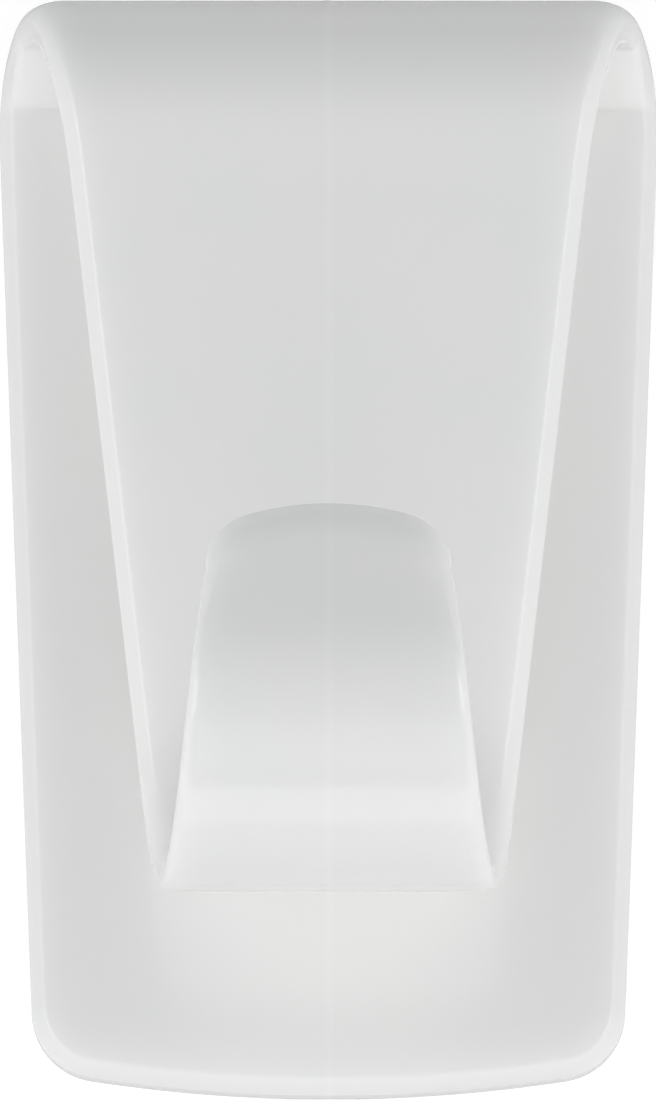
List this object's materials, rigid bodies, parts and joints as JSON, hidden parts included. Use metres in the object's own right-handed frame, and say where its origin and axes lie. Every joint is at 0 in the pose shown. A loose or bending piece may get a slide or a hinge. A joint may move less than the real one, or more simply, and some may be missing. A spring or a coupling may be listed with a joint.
{
  "type": "adhesive ceiling hook",
  "caption": "Glossy white ribbon hook: a flat back plate loops over itself, returns as a narrowing tongue and ends in an upturned lip, held to a ceiling by a stretch-release adhesive strip.",
  "frame": {"origin": "centre of the adhesive face that meets the ceiling", "axes": "+Z away from the ceiling, +Y from the plate's lower edge towards the loop, +X across"},
  "size_m": [0.0284, 0.0478, 0.0185],
  "materials": {
    "hook_plastic": "glossy white moulded plastic",
    "strip_core": "matte stretchable foam film",
    "adhesive": "tacky translucent adhesive",
    "tab_film": "smooth white film"
  },
  "bodies": {
    "hook": {"hook_body": "hook_plastic"},
    "strip": {"strip_core": "strip_core", "adhesive_ceiling_side": "adhesive", "adhesive_hook_side": "adhesive", "tab_film_ceiling_side": "tab_film", "tab_film_hook_side": "tab_film"}
  },
  "joints": [
    {"name": "strip_pull", "type": "slide", "parent": "hook", "child": "strip", "axis": [0, -1, 0], "range_m": [0, 0.044]}
  ]
}
